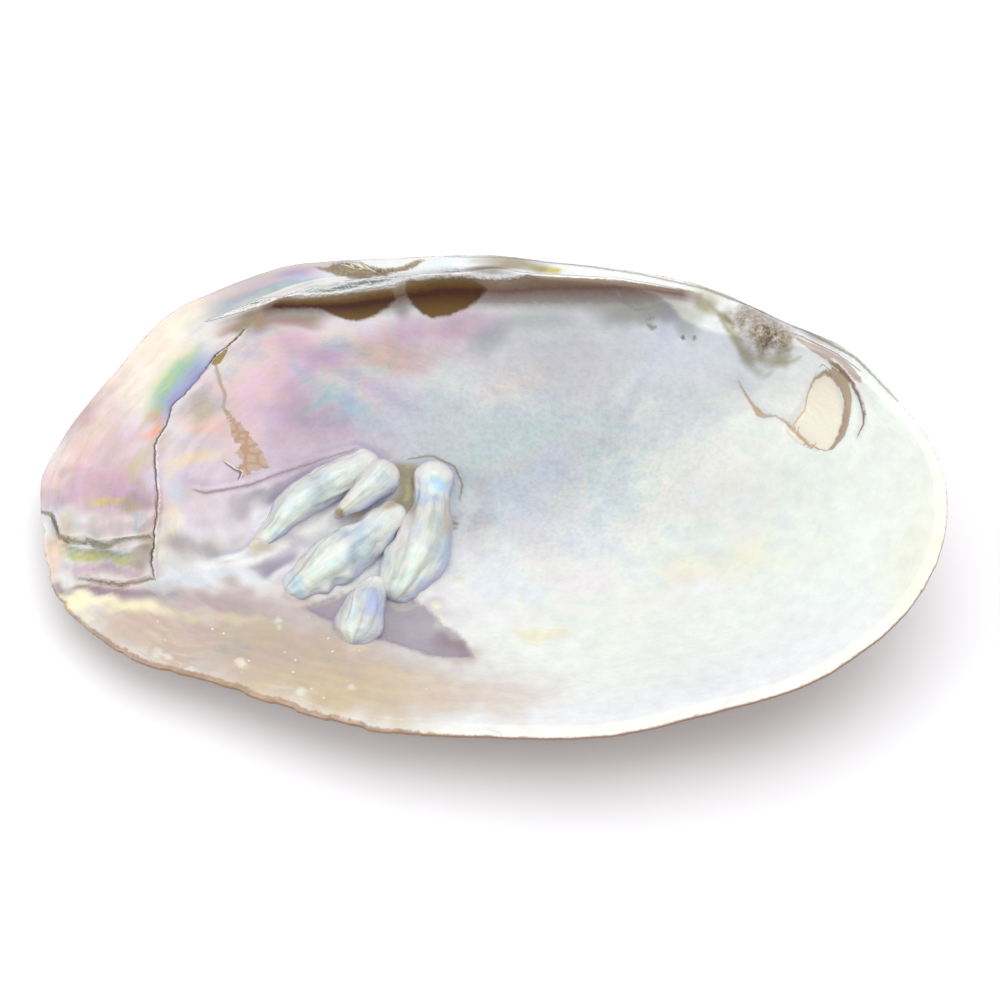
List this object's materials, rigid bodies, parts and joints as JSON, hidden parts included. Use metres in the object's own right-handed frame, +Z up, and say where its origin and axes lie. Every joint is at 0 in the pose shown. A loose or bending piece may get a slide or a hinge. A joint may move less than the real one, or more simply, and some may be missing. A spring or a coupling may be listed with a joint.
{
  "type": "mother-of-pearl shell",
  "caption": "Open half shell of a freshwater pearl mussel, lying nacre side up, with baroque pearls grown fast inside the hollow.",
  "frame": {"origin": "middle of the small worn flat under the valve, on the surface that it lies on", "axes": "+X towards the front end of the mussel, with the tooth and the muscle scar, +Y towards the hinge, +Z up out of the hollow"},
  "size_m": [0.1793, 0.1069, 0.0351],
  "materials": {
    "nacre": "natural nacre inside, glossy and faintly iridescent, with a matt olive-brown growth skin outside",
    "pearl": "nacre pearl, bluish white, high lustre"
  },
  "bodies": {
    "root": {"valve": "nacre", "pearl_drop": "pearl", "pearl_right": "pearl", "pearl_middle": "pearl", "pearl_left": "pearl", "pearl_small": "pearl"}
  },
  "joints": []
}
